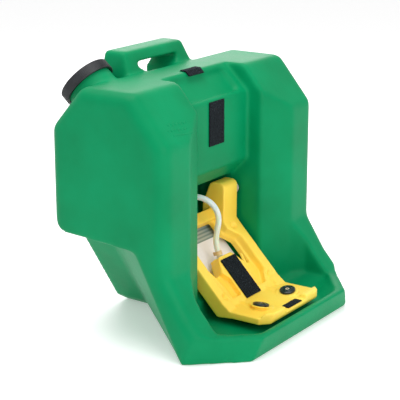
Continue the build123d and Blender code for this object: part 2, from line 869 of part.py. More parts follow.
hose_radii = bend_radii(hose_route)
print("hose bend radii", [round(r, 1) for r in hose_radii])
with BuildPart() as feed_hose:
    with BuildLine():
        hose_line = FilletPolyline(*hose_route, radius=hose_radii)
    with BuildSketch(Plane(hose_start, z_dir=hose_line % 0)):
        Circle(hose_outer / 2)
        Circle(hose_bore / 2, mode=Mode.SUBTRACT)
    sweep()
hose_section = pi * (hose_outer**2 - hose_bore**2) / 4
print("hose ends", hose_start, hose_end, "neck", neck_base, neck_axis)
print("hose length", round(hose_line.length, 1),
      "volume over section times length", round(feed_hose.part.volume / hose_section / hose_line.length, 4))


def hose_clamp(plane):
    """Spring band round the hose, with two ears to squeeze it open."""
    ring_outer = hose_outer / 2 + clamp_thickness
    with BuildPart() as clamp:
        with BuildSketch(plane):
            Circle(ring_outer)
            with Locations((0, ring_outer + 1.5)):
                Rectangle(5, 5)
            Circle(hose_outer / 2, mode=Mode.SUBTRACT)
        extrude(amount=clamp_width)
    return clamp.part


hose_clamp_tank = hose_clamp(outlet_plane.offset(gasket_seat + flange_thickness + clamp_back))
hose_clamp_arm = hose_clamp(inlet_plane.offset(inlet_collar + clamp_back))

label_plane = arm_level(back_wall_gap)
label_centre = label_plane.from_local_coords((0, -label_start - label_length / 2, 0))
with BuildPart() as instruction_label:
    with BuildSketch(Plane(label_centre, x_dir=(1, 0, 0), z_dir=label_plane.z_dir)):
        RectangleRounded(label_width, label_length, 6)
    extrude(amount=label_thickness)

tank_front_pad = pad(
    Plane((0, face_y, panel_z - front_pad_length / 2), x_dir=(1, 0, 0), z_dir=(0, -1, 0)),
    pad_width, front_pad_length,
)
# the top pad laps over the panel's upper edge
slope = radians(panel_angle)
top_edge_y = face_y + panel_rise / tan(slope)
lap_y = top_edge_y - top_pad_length * cos(slope)
lap_z = tank_height - top_pad_length * sin(slope)
with BuildPart() as tank_top_pad:
    with BuildSketch(Plane.YZ):
        with BuildLine():
            Polyline(
                (top_edge_y + top_pad_length, tank_height),
                (top_edge_y, tank_height),
                (lap_y, lap_z),
                (lap_y - pad_thickness * sin(slope), lap_z + pad_thickness * cos(slope)),
                (top_edge_y - pad_thickness * tan(slope / 2), tank_height + pad_thickness),
                (top_edge_y + top_pad_length, tank_height + pad_thickness),
                close=True,
            )
        make_face()
    extrude(amount=pad_width / 2, both=True)
arm_pad_plane = arm_level(island_top)
arm_long_pad = pad(
    Plane(arm_pad_plane.from_local_coords((0, -arm_pad_start - arm_pad_length / 2, 0)),
          x_dir=(1, 0, 0), z_dir=arm_pad_plane.z_dir),
    pad_width, arm_pad_length,
)
arm_front_pad = pad(
    Plane((0, plate_front_y + notch_pad_length / 2 + 1, plate_rest_z)),
    notch_pad_width, notch_pad_length,
)

# ------------------------------------------------------------------------ exports
tank_shell.part.label = "tank_shell"
export_step(tank_shell.part, "parts/tank_shell.step")
arm_shell.part.label = "arm_shell"
export_step(arm_shell.part, "parts/arm_shell.step")
fill_cap.part.label = "fill_cap"
export_step(fill_cap.part, "parts/fill_cap.step")
cap_gasket.part.label = "cap_gasket"
export_step(cap_gasket.part, "parts/cap_gasket.step")
cap_vent.part.label = "cap_vent"
export_step(cap_vent.part, "parts/cap_vent.step")
outlet_fitting.part.label = "outlet_fitting"
export_step(outlet_fitting.part, "parts/outlet_fitting.step")
outlet_gasket.part.label = "outlet_gasket"
export_step(outlet_gasket.part, "parts/outlet_gasket.step")
outlet_nut.part.label = "outlet_nut"
export_step(outlet_nut.part, "parts/outlet_nut.step")
outlet_screen.part.label = "outlet_screen"
export_step(outlet_screen.part, "parts/outlet_screen.step")
inlet_fitting.part.label = "inlet_fitting"
export_step(inlet_fitting.part, "parts/inlet_fitting.step")
feed_hose.part.label = "feed_hose"
export_step(feed_hose.part, "parts/feed_hose.step")
instruction_label.part.label = "instruction_label"
export_step(instruction_label.part, "parts/instruction_label.step")
tank_top_pad.part.label = "tank_top_pad"
export_step(tank_top_pad.part, "parts/tank_top_pad.step")
hose_clamp_tank.label = "hose_clamp_tank"
export_step(hose_clamp_tank, "parts/hose_clamp_tank.step")
hose_clamp_arm.label = "hose_clamp_arm"
export_step(hose_clamp_arm, "parts/hose_clamp_arm.step")
tank_front_pad.label = "tank_front_pad"
export_step(tank_front_pad, "parts/tank_front_pad.step")
arm_long_pad.label = "arm_long_pad"
export_step(arm_long_pad, "parts/arm_long_pad.step")
arm_front_pad.label = "arm_front_pad"
export_step(arm_front_pad, "parts/arm_front_pad.step")
pivot_bush_left = pivot_bush(-1)
pivot_bush_left.label = "pivot_bush_left"
export_step(pivot_bush_left, "parts/pivot_bush_left.step")
pivot_bush_right = pivot_bush(1)
pivot_bush_right.label = "pivot_bush_right"
export_step(pivot_bush_right, "parts/pivot_bush_right.step")
pivot_pin_left = pivot_pin(-1)
pivot_pin_left.label = "pivot_pin_left"
export_step(pivot_pin_left, "parts/pivot_pin_left.step")
pivot_pin_right = pivot_pin(1)
pivot_pin_right.label = "pivot_pin_right"
export_step(pivot_pin_right, "parts/pivot_pin_right.step")
nozzle_head_left = nozzle_head(-1)
nozzle_head_left.label = "nozzle_head_left"
export_step(nozzle_head_left, "parts/nozzle_head_left.step")
nozzle_head_right = nozzle_head(1)
nozzle_head_right.label = "nozzle_head_right"
export_step(nozzle_head_right, "parts/nozzle_head_right.step")
nozzle_stem_left = nozzle_stem(-1)
nozzle_stem_left.label = "nozzle_stem_left"
export_step(nozzle_stem_left, "parts/nozzle_stem_left.step")
nozzle_stem_right = nozzle_stem(1)
nozzle_stem_right.label = "nozzle_stem_right"
export_step(nozzle_stem_right, "parts/nozzle_stem_right.step")
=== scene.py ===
"""Portable eyewash station: its looks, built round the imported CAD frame, in metres.

Each section makes one piece, or one group of like pieces, in the order in which the
station is put together: hose, tank, waves, arm, nozzles, cap, pads, label, fittings.
"""

import json
from math import cos, pi, radians, sin

import bmesh
import bpy
from mathutils import Matrix, Vector


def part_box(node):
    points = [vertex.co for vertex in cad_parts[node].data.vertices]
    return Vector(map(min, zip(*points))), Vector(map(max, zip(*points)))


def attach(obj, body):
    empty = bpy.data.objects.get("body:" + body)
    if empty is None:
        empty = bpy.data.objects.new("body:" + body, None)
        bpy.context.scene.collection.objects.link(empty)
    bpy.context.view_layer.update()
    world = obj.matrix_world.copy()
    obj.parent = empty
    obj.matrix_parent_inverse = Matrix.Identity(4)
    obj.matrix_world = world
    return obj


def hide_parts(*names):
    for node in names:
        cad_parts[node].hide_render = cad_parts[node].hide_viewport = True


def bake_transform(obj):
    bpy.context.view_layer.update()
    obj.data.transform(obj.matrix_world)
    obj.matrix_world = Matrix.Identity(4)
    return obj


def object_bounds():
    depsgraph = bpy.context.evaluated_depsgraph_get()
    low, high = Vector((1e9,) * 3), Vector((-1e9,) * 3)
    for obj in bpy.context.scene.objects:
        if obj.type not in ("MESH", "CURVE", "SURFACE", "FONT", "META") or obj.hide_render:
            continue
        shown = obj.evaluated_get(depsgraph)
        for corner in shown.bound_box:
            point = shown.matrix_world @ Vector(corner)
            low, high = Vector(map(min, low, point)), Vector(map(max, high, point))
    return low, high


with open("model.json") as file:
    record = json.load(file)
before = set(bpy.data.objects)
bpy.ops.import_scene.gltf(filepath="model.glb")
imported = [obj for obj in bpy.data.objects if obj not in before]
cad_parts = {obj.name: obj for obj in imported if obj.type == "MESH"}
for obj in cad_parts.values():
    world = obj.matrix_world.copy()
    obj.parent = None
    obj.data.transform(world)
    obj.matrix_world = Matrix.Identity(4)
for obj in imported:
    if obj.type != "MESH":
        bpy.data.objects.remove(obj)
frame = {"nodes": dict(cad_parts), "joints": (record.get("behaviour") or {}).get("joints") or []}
cad_low, cad_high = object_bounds()
nodes = frame["nodes"]
mm = 0.001

# ---------------------------------------------------------------------------- camera
# It stands well back, off the front left corner and a little above the tank's top, and
# looks at the middle of the station with a long lens, so that upright edges stay upright.
camera = bpy.data.objects.new("camera", bpy.data.cameras.new("camera"))
bpy.context.scene.collection.objects.link(camera)
bpy.context.scene.camera = camera
camera.location = (-1.9876, -1.4520, 0.9041)
camera.rotation_euler = Vector((0.79529, 0.53977, -0.27596)).to_track_quat("-Z", "Y").to_euler()
camera.data.sensor_width = 36
camera.data.lens = 120.66

# ------------------------------------------------------------------------- feed hose
# A soft milky tube from the outlet in the tank's hinge pocket, over the arm's crossbar
# and down into the socket at the top of the arm's island. It is pushed over a barb and
# held by a spring clamp at each end.
hose_radius = 5.5 * mm
hose_wall = 2.0 * mm
hose_route = [
    (-0.036, -0.0455, 0.218),
    (-0.036, -0.066, 0.218),
    (-0.035, -0.087, 0.2225),
    (-0.0315, -0.1065, 0.230),
    (-0.025, -0.1255, 0.2285),
    (-0.017, -0.1405, 0.2185),
    (-0.010, -0.149, 0.202),
    (-0.0065, -0.150, 0.1825),
    (-0.006, -0.144, 0.160),
    (-0.005, -0.1421, 0.1336),
    (-0.005, -0.1507, 0.1144),
]


def pick(piece):
    """Makes a piece the only one that is selected, and the active one."""
    bpy.ops.object.select_all(action="DESELECT")
    piece.select_set(True)
    bpy.context.view_layer.objects.active = piece


def modify(piece, kind, **settings):
    """Adds a modifier to a piece and applies it."""
    pick(piece)
    bpy.ops.object.modifier_add(type=kind)
    added = piece.modifiers[-1]
    for name, value in settings.items():
        setattr(added, name, value)
    bpy.ops.object.modifier_apply(modifier=added.name)


def fit(piece, body, finish, slot, *stands_for):
    """Puts a finished piece on its body, in place of the CAD nodes that it stands for."""
    pick(piece)
    bpy.ops.object.transform_apply(location=True, rotation=True, scale=True)
    piece.data.materials.clear()
    piece.data.materials.append(finish)
    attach(piece, body)
    if stands_for:
        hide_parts(*stands_for)


def new_finish(name, **sockets):
    """A material with plain values on its shader's own sockets; gives its nodes and links too."""
    finish = bpy.data.materials.new(name)
    finish.use_nodes = True
    tree = finish.node_tree
    shader = tree.nodes["Principled BSDF"]
    for socket, value in sockets.items():
        shader.inputs[socket.replace("_", " ")].default_value = value
    return finish, tree, shader


def add_node(tree, kind, **settings):
    """A shader node; keyword names are sockets where it has them, and properties otherwise."""
    made = tree.nodes.new("ShaderNode" + kind)
    for name, value in settings.items():
        socket = name.replace("_", " ")
        if socket in made.inputs:
            if isinstance(value, bpy.types.NodeSocket):
                tree.links.new(value, made.inputs[socket])
            else:
                made.inputs[socket].default_value = value
        else:
            setattr(made, name, value)
    return made


def ramp(tree, factor, *stops):
    """A colour ramp with (position, colour) stops."""
    made = add_node(tree, "ValToRGB", Fac=factor)
    while len(made.color_ramp.elements) < len(stops):
        made.color_ramp.elements.new(0.5)
    for element, (place, colour) in zip(made.color_ramp.elements, stops):
        element.position = place
        element.color = (*colour, 1)
    return made.outputs["Color"]


def object_place(tree):
    """Places on the piece's own axes, in metres."""
    return add_node(tree, "TexCoord").outputs["Object"]


def hose_finish():
    """Milky tube, ambered towards its lower end."""
    finish, tree, shader = new_finish(
        "milky_tube", Roughness=0.3, IOR=1.45, Subsurface_Weight=0.5, Subsurface_Scale=0.01,
        Transmission_Weight=0.08, Coat_Weight=0.3, Coat_Roughness=0.15)
    place = object_place(tree)
    height = add_node(tree, "SeparateXYZ", Vector=place).outputs["Z"]
    along = add_node(
        tree, "MapRange", Value=height, From_Min=0.115, From_Max=0.235).outputs["Result"]
    cloud = add_node(tree, "TexNoise", Vector=place, Scale=60.0, Detail=3.0).outputs["Fac"]
    mixed = add_node(tree, "Math", operation="MULTIPLY_ADD")
    tree.links.new(cloud, mixed.inputs[0])
    mixed.inputs[1].default_value = 0.25
    tree.links.new(along, mixed.inputs[2])
    colour = ramp(tree, mixed.outputs[0], (0.05, (0.90, 0.62, 0.26)), (0.22, (0.90, 0.80, 0.60)),
                  (0.6, (0.92, 0.87, 0.78)), (1.0, (0.74, 0.76, 0.76)))
    tree.links.new(colour, shader.inputs["Base Color"])
    return finish


hose_curve = bpy.data.curves.new("feed_hose_line", "CURVE")
hose_curve.dimensions = "3D"
hose_curve.resolution_u = 10
hose_spline = hose_curve.splines.new("NURBS")
hose_spline.points.add(len(hose_route) - 1)
for point, place in zip(hose_spline.points, hose_route):
    point.co = (*place, 1)
hose_spline.order_u = 3
hose_spline.use_endpoint_u = True
feed_hose = bpy.data.objects.new("feed_hose_tube", hose_curve)
bpy.context.scene.collection.objects.link(feed_hose)
hose_path = [v.co.copy() for v in bpy.data.meshes.new_from_object(feed_hose).vertices]
hose_curve.bevel_depth = hose_radius
hose_curve.bevel_resolution = 8
pick(feed_hose)
bpy.ops.object.convert(target="MESH")
modify(feed_hose, "SOLIDIFY", thickness=hose_wall, offset=-1)
feed_hose.data.shade_smooth()
feed_hose.data.materials.clear()
feed_hose.data.materials.append(hose_finish())
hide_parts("feed_hose")
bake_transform(feed_hose)

# ------------------------------------------------------------------------------ tank
# One hollow rotational moulding in green polyethylene: reservoir, wings, bowl, foot and
# handle. The walls come out of the mould with soft edges all over and a faint pebble
# grain. Only the outside is made here; the cap closes the filler neck.
tank_cell = 3.6 * mm
# the cap's gasket lies on the neck's lip, round its axis
neck_low, neck_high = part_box("cap_gasket")
neck_middle = (neck_low + neck_high) / 2
cap_joint = next(joint for joint in frame["joints"] if joint["name"] == "cap_turn")
neck_axis = Vector(cap_joint["axis"])


def moulded_grain():
    """Node group: fine pebbled height, and a faint cloudiness of the colour."""
    group = bpy.data.node_groups.new("moulded_grain", "ShaderNodeTree")
    face = group.interface
    face.new_socket("Place", in_out="INPUT", socket_type="NodeSocketVector")
    face.new_socket("Size", in_out="INPUT", socket_type="NodeSocketFloat")
    face.new_socket("Height", in_out="OUTPUT", socket_type="NodeSocketFloat")
    face.new_socket("Cloud", in_out="OUTPUT", socket_type="NodeSocketFloat")
    given = group.nodes.new("NodeGroupInput")
    taken = group.nodes.new("NodeGroupOutput")
    pebble = group.nodes.new("ShaderNodeTexNoise")
    pebble.inputs["Detail"].default_value = 2.0
    ripple = group.nodes.new("ShaderNodeTexNoise")
    ripple.inputs["Scale"].default_value = 18.0
    ripple.inputs["Detail"].default_value = 2.0
    sum_up = group.nodes.new("ShaderNodeMath")
    sum_up.operation = "MULTIPLY_ADD"
    sum_up.inputs[1].default_value = 6.0
    cloud = group.nodes.new("ShaderNodeTexNoise")
    cloud.inputs["Scale"].default_value = 9.0
    cloud.inputs["Detail"].default_value = 5.0
    link = group.links.new
    for texture in (pebble, ripple, cloud):
        link(given.outputs["Place"], texture.inputs["Vector"])
    link(given.outputs["Size"], pebble.inputs["Scale"])
    link(ripple.outputs["Fac"], sum_up.inputs[0])
    link(pebble.outputs["Fac"], sum_up.inputs[2])
    link(sum_up.outputs[0], taken.inputs["Height"])
    link(cloud.outputs["Fac"], taken.inputs["Cloud"])
    return group


grain = moulded_grain()


def moulded_finish(name, dark, plain, pale, size, bump, **sockets):
    """Moulded polyethylene: a cloudy colour and a pebbled, half-matt surface."""
    finish, tree, shader = new_finish(name, **sockets)
    place = object_place(tree)
    texture = tree.nodes.new("ShaderNodeGroup")
    texture.node_tree = grain
    texture.inputs["Size"].default_value = size
    tree.links.new(place, texture.inputs["Place"])
    colour = ramp(tree, texture.outputs["Cloud"], (0.25, dark), (0.5, plain), (0.8, pale))
    tree.links.new(colour, shader.inputs["Base Color"])
    rough = add_node(tree, "MapRange", Value=texture.outputs["Cloud"], To_Min=0.36, To_Max=0.52)
    tree.links.new(rough.outputs["Result"], shader.inputs["Roughness"])
    relief = add_node(
        tree, "Bump", Height=texture.outputs["Height"], Strength=bump, Distance=0.0004)
    tree.links.new(relief.outputs["Normal"], shader.inputs["Normal"])
    return finish


tank_plastic = moulded_finish(
    "green_polyethylene", (0.0, 0.200, 0.072), (0.0, 0.238, 0.088), (0.0, 0.275, 0.108),
    900.0, 0.35, Specular_IOR_Level=0.10)


def from_cad(name, node):
    """A new piece with a merged copy of a CAD node's mesh, open for editing."""
    piece = bpy.data.objects.new(name, nodes[node].data.copy())
    bpy.context.scene.collection.objects.link(piece)
    pick(piece)
    bpy.ops.object.mode_set(mode="EDIT")
    bpy.ops.mesh.select_all(action="SELECT")
    bpy.ops.mesh.remove_doubles(threshold=0.02 * mm)
    bpy.ops.mesh.select_all(action="DESELECT")
    return piece


tank = from_cad("tank_moulding", "tank_shell")
# only the outside is kept: a search from the lowest face stops at the neck's bore and
# at the outlet's hole
outlet_low, outlet_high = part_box("outlet_gasket")
outlet_middle = (outlet_low + outlet_high) / 2
neck_bore = 39.0 * mm
outlet_bore = 9.0 * mm
bore_margin = 0.4 * mm
outlet_margin = 0.3 * mm
outlet_reach = 8 * mm
above_neck_foot = 0.39
shape = bmesh.from_edit_mesh(tank.data)


def in_bore(place):
    """True on the walls of the neck's bore or of the outlet's hole."""
    from_neck = place - neck_middle
    from_neck -= neck_axis * from_neck.dot(neck_axis)
    beside = Vector((place.x - outlet_middle.x, 0, place.z - outlet_middle.z))
    in_neck = abs(from_neck.length - neck_bore) < bore_margin and place.z > above_neck_foot
    in_outlet = abs(beside.length - outlet_bore) < outlet_margin
    return in_neck or (in_outlet and abs(place.y - outlet_middle.y) < outlet_reach)


kept = {min(shape.faces, key=lambda f: f.calc_center_median().z)}
edge_of_search = list(kept)
while edge_of_search:
    face = edge_of_search.pop()
    for edge in face.edges:
        for beyond in edge.link_faces:
            if beyond not in kept and not in_bore(beyond.calc_center_median()):
                kept.add(beyond)
                edge_of_search.append(beyond)
for face in shape.faces:
    face.select = face not in kept
bmesh.update_edit_mesh(tank.data)
bpy.ops.mesh.select_mode(type="FACE")
bpy.ops.mesh.delete(type="FACE")
bpy.ops.mesh.select_mode(type="EDGE")
bpy.ops.mesh.select_non_manifold(
    extend=False, use_wire=False, use_multi_face=False, use_non_contiguous=False, use_verts=False)
bpy.ops.mesh.edge_face_add()
bpy.ops.object.mode_set(mode="OBJECT")
modify(tank, "REMESH", mode="VOXEL", voxel_size=tank_cell)
modify(tank, "SMOOTH", factor=0.5, iterations=10)
tank.data.shade_smooth()
fit(tank, "tank", tank_plastic, "tank_plastic", "tank_shell")

# ------------------------------------------------------------------- moulded waves
# Two raised wavy lines and a straight one, moulded on the front slope of the wing below
# the filler neck, where such a station has its raised lettering.
slope_down = Vector((0, -0.640, -0.768))
slope_out = Vector((0, -0.768, 0.640))
slope_sink = slope_out * 0.5 * mm
wave_width = 51 * mm
wave_rise = 2.2 * mm
wave_cord = 1.3 * mm
wave_fall = 0.11


def rounded_rod(name, places, radius, along_steps, round_steps):
    """A closed rod of one radius on a smooth line through control points, as a mesh."""
    curve = bpy.data.curves.new(name, "CURVE")
    curve.dimensions = "3D"
    curve.resolution_u = along_steps
    spline = curve.splines.new("NURBS")
    spline.points.add(len(places) - 1)
    for point, place in zip(spline.points, places):
        point.co = (*place, 1)
    spline.order_u = 3
    spline.use_endpoint_u = True
    curve.bevel_depth = radius
    curve.bevel_resolution = round_steps
    curve.use_fill_caps = True
    rod = bpy.data.objects.new(name, curve)
    bpy.context.scene.collection.objects.link(rod)
    pick(rod)
    bpy.ops.object.convert(target="MESH")
    return rod


def raised_line(name, start, rise, turns):
    """A rounded line on the slope, waving up and down it; rise 0 leaves it straight."""
    steps = 4 * turns
    places = []
    for step in range(steps + 1):
        across = wave_width * step / steps
        down = wave_fall * across + rise * sin(step * pi / 2)
        places.append(Vector(start) - slope_sink + Vector((across, 0, 0)) + slope_down * down)
    line = rounded_rod(name, places, wave_cord, 4, 3)
    line.data.shade_smooth()
    fit(line, "tank", tank_plastic, "tank_plastic")


raised_line("wave_upper", (-0.203, -0.1740, 0.4050), 1.4 * wave_rise, 5)
raised_line("wave_lower", (-0.211, -0.1810, 0.3966), wave_rise, 6)
raised_line("wave_foot", (-0.204, -0.1880, 0.3882), 0, 2)

# ------------------------------------------------------------------------------- arm
# The yellow swinging arm: one polyethylene moulding with two ears, two rails, a window,
# an island that carries the long pad, and the plate the nozzles stand on. Its edges are
# soft from the mould, and a low ring is moulded round each nozzle.
arm_cell = 1.7 * mm
ring_radius = 19.5 * mm
ring_width = 1.8 * mm
arm_plastic = moulded_finish(
    "yellow_polyethylene", (0.96, 0.60, 0.060), (1.0, 0.68, 0.080), (1.0, 0.74, 0.115),
    1300.0, 0.25, Specular_IOR_Level=0.35, Subsurface_Weight=0.12, Subsurface_Scale=0.004)
nozzle_tilt = radians(12)


def nozzle_middle(side):
    """Middle of a nozzle's disc, from the CAD node."""
    low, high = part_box(f"nozzle_head_{side}")
    return (low + high) / 2


def lean_in(piece, side, middle):
    """Moves a mesh to its nozzle, leaning towards the middle of the arm as that does."""
    turn = -nozzle_tilt if side == "right" else nozzle_tilt
    piece.data.transform(Matrix.Translation(middle) @ Matrix.Rotation(turn, 4, "Y"))


swing_joint = next(joint for joint in frame["joints"] if joint["name"] == "arm_swing")
pivot = Vector(swing_joint["pos_m"])
rest_slope = radians(-swing_joint["range_deg"][0] - 90)
down_arm = Vector((0, -cos(rest_slope), -sin(rest_slope)))
out_of_arm = Vector((0, -sin(rest_slope), cos(rest_slope)))
arm_floor = 46 * mm
ridge_radius = 3.2 * mm
# the ridge's line: across and along the arm, then across and behind the nozzle's middle
ridge_line = ((60 * mm, 112 * mm), (52 * mm, 136 * mm), (45 * mm, 160 * mm), (47 * mm, 186 * mm))
ridge_end = ((0, 26 * mm), (3 * mm, 19 * mm))
plate_below = 5 * mm
ring_below = 3.2 * mm


def on_arm(across, along, above):
    """A place given across the arm, down it from the pivot, and above its floor."""
    return pivot + Vector((across, 0, 0)) + down_arm * along + out_of_arm * (above - arm_floor)


def ridge(side, sideways):
    """A rounded ridge beside the island, from its shoulder to the ring of the nozzle."""
    places = [on_arm(sideways * across, along, 0) for across, along in ridge_line]
    for across, behind in ridge_end:
        places.append(nozzle_middle(side) + Vector((sideways * across, behind, -plate_below)))
    return rounded_rod(f"ridge_{side}", places, ridge_radius, 12, 4)


arm = from_cad("arm_moulding", "arm_shell")
bpy.ops.object.mode_set(mode="OBJECT")
arm_pieces = [arm, ridge("left", -1), ridge("right", 1)]
for side in ("left", "right"):
    bpy.ops.object.select_all(action="DESELECT")
    bpy.ops.mesh.primitive_torus_add(
        major_radius=ring_radius, minor_radius=ring_width, major_segments=72, minor_segments=14)
    ring = bpy.context.object
    lean_in(ring, side, nozzle_middle(side) - Vector((0, 0, ring_below)))
    arm_pieces.append(ring)
bpy.ops.object.select_all(action="DESELECT")
for piece in arm_pieces:
    piece.select_set(True)
bpy.context.view_layer.objects.active = arm
bpy.ops.object.join()
modify(arm, "REMESH", mode="VOXEL", voxel_size=arm_cell)
modify(arm, "SMOOTH", factor=0.5, iterations=6)
# two dimples in each rail, pressed in square to the arm: across, along and radius
rail_dimples = ((72 * mm, 60 * mm, 10 * mm), (78 * mm, 176 * mm, 9 * mm))
dimples = [
    (sideways * across, along, radius)
    for sideways in (1, -1)
    for across, along, radius in rail_dimples
]
dimple_depth = 7 * mm
surface_depth = 40 * mm
for vertex in arm.data.vertices:
    from_pivot = vertex.co - pivot
    below = from_pivot.dot(out_of_arm)
    for across, along, radius in dimples:
        share = Vector((vertex.co.x - across, from_pivot.dot(down_arm) - along)).length / radius
        if share < 1 and below > -surface_depth:
            vertex.co -= out_of_arm * dimple_depth * (1 - share**2) ** 2
arm.data.shade_smooth()
fit(arm, "arm", arm_plastic, "arm_plastic", "arm_shell")

# --------------------------------------------------------------------------- nozzles
# Two glossy black rubber heads: a rounded disc with a groove round a low dome, and a pale
# flow disc set in the middle with the water's hole through it.
head_radius = 14.8 * mm
head_height = 5.0 * mm
head_side = 3.2 * mm
# each step of a disc's top: how far in from the last, and how far up
head_steps = (
    (1.6 * mm, 1.0 * mm),
    (2.0 * mm, 0.3 * mm),
    (0.5 * mm, -0.9 * mm),
    (0.9 * mm, 0),
    (0.5 * mm, 1.0 * mm),
    (2.6 * mm, 0.5 * mm),
    (2.2 * mm, 0.1 * mm),
    (0.4 * mm, -1.2 * mm),
)
insert_radius = 3.7 * mm
insert_side = 1.2 * mm
insert_rise = 0.6 * mm
insert_steps = ((0.7 * mm, 0.3 * mm), (1.1 * mm, 0), (0.2 * mm, -0.9 * mm))


def rubber_finish(name, dark, pale, rough_low, rough_high):
    """Rubber or hard plastic, with a faint bloom and fine scuffs."""
    finish, tree, shader = new_finish(name, Specular_IOR_Level=0.5)
    place = object_place(tree)
    bloom = add_node(tree, "TexNoise", Vector=place, Scale=70.0, Detail=6.0).outputs["Fac"]
    scuff = add_node(tree, "TexNoise", Vector=place, Scale=900.0, Detail=3.0).outputs["Fac"]
    tree.links.new(ramp(tree, bloom, (0.35, dark), (0.75, pale)), shader.inputs["Base Color"])
    rough = add_node(tree, "MapRange", Value=bloom, From_Min=0.3, From_Max=0.7,
                     To_Min=rough_low, To_Max=rough_high)
    tree.links.new(rough.outputs["Result"], shader.inputs["Roughness"])
    relief = add_node(tree, "Bump", Height=scuff, Strength=0.15, Distance=0.0002)
    tree.links.new(relief.outputs["Normal"], shader.inputs["Normal"])
    return finish


nozzle_black = rubber_finish(
    "nozzle_rubber", (0.004, 0.010, 0.012), (0.012, 0.024, 0.028), 0.22, 0.38)
insert_pale = rubber_finish("flow_disc", (0.62, 0.50, 0.33), (0.74, 0.62, 0.45), 0.35, 0.5)


def select_faces(piece, test):
    """Selects the faces of a mesh open for editing that pass a test of middle and normal."""
    shape = bmesh.from_edit_mesh(piece.data)
    for face in shape.faces:
        face.select = test(face.calc_center_median(), face.normal)
    bmesh.update_edit_mesh(piece.data)


def turned_disc(name, radius, height, steps):
    """A disc standing on the XY plane whose top is inset and moved by each (inset, rise) step."""
    bpy.ops.object.select_all(action="DESELECT")
    bpy.ops.mesh.primitive_cylinder_add(
        vertices=64, radius=radius, depth=height, location=(0, 0, height / 2))
    disc = bpy.context.object
    disc.name = name
    bpy.ops.object.transform_apply(location=True, rotation=True, scale=True)
    bpy.ops.object.mode_set(mode="EDIT")
    bpy.ops.mesh.select_mode(type="FACE")
    bpy.ops.mesh.select_all(action="DESELECT")
    select_faces(disc, lambda middle, normal: normal.z > 0.9)
    for inward, rise in steps:
        bpy.ops.mesh.inset(thickness=inward, depth=0)
        bpy.ops.transform.translate(value=(0, 0, rise))
    bpy.ops.object.mode_set(mode="OBJECT")
    return disc


def set_in_arm(disc, side, rise, finish, *stands_for):
    """Moves a disc to its nozzle's place and lean, and fits it to the arm."""
    disc.data.transform(Matrix.Translation((0, 0, rise)))
    lean_in(disc, side, nozzle_middle(side))
    pick(disc)
    bpy.ops.object.shade_smooth_by_angle(angle=radians(40))
    fit(disc, "arm", finish, "nozzle", *stands_for)


for side in ("left", "right"):
    head = turned_disc(f"nozzle_disc_{side}", head_radius, head_side, head_steps)
    modify(head, "BEVEL", width=0.3 * mm, segments=2, limit_method="ANGLE")
    set_in_arm(head, side, -head_height / 2, nozzle_black, f"nozzle_head_{side}")
    insert = turned_disc(f"flow_disc_{side}", insert_radius, insert_side, insert_steps)
    set_in_arm(insert, side, insert_rise, insert_pale)

# ------------------------------------------------------------------------------- cap
# A thin black screw cap with a finely ribbed rim for grip, a raised edge round its top,
# and a small vent plug in the middle.
cap_low, cap_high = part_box("fill_cap")
cap_middle = (cap_low + cap_high) / 2
cap_radius = 50.0 * mm
cap_height = 19.0 * mm
cap_black = rubber_finish(
    "cap_polypropylene", (0.012, 0.013, 0.016), (0.026, 0.028, 0.032), 0.38, 0.55)
cap_ribs = 96
cap_rib = 0.7 * mm
cap_wall = 3.6 * mm
cap_top = 4 * mm
rib_edge = 0.25 * mm
# each step of the top: how far in from the last, and how far up
cap_steps = (
    (1.6 * mm, 0),
    (1.0 * mm, 0),
    (4.0 * mm, -1.2 * mm),
    (1.0 * mm, 0),
    (30 * mm, -0.2 * mm),
)


def on_the_rim(face):
    """Whether a face of the cap is one of its upright outer faces."""
    reach = face.calc_center_median().xy.length
    return abs(face.normal.z) < 0.1 and reach > cap_radius - 2 * mm


bpy.ops.object.select_all(action="DESELECT")
bpy.ops.mesh.primitive_cylinder_add(
    vertices=2 * cap_ribs, radius=cap_radius - cap_rib, depth=cap_height)
screw_cap = bpy.context.object
screw_cap.name = "screw_cap"
bpy.ops.object.mode_set(mode="EDIT")
bpy.ops.mesh.select_mode(type="FACE")
bpy.ops.mesh.select_all(action="DESELECT")
select_faces(screw_cap, lambda middle, normal: normal.z > 0.9)
for inward, rise in cap_steps:
    bpy.ops.mesh.inset(thickness=inward, depth=0)
    bpy.ops.transform.translate(value=(0, 0, rise))
bpy.ops.mesh.select_all(action="DESELECT")
select_faces(screw_cap, lambda middle, normal: normal.z < -0.9)
bpy.ops.mesh.inset(thickness=cap_wall, depth=0)
bpy.ops.mesh.extrude_region_move(TRANSFORM_OT_translate={"value": (0, 0, cap_height - cap_top)})
bpy.ops.mesh.select_all(action="DESELECT")
shape = bmesh.from_edit_mesh(screw_cap.data)
around = [face for face in shape.faces if on_the_rim(face)]
around.sort(key=lambda face: face.calc_center_median().xy.angle_signed(Vector((1, 0)), 0))
for face in around[::2]:
    face.select = True
bmesh.update_edit_mesh(screw_cap.data)
bpy.ops.mesh.inset(use_individual=True, thickness=rib_edge, depth=cap_rib)
bpy.ops.object.mode_set(mode="OBJECT")
cap_lean = Vector((0, 0, 1)).rotation_difference(neck_axis).to_matrix().to_4x4()
screw_cap.data.transform(Matrix.Translation(cap_middle) @ cap_lean)
pick(screw_cap)
bpy.ops.object.shade_smooth_by_angle(angle=radians(35))
fit(screw_cap, "cap", cap_black, "cap_plastic", "fill_cap")

# -------------------------------------------------------------------- hook-and-loop pads
# Four pads of black looped tape, glued to the tank's face and top edge and to the arm,
# which hold the arm shut. The pile is deep, uneven and a little frayed at the edges.
pad_cell = 0.9 * mm
tuft_size = 2.2 * mm
tuft_height = 1.3 * mm
pads = {
    "tank_front_pad": "tank",
    "tank_top_pad": "tank",
    "arm_long_pad": "arm",
    "arm_front_pad": "arm",
}


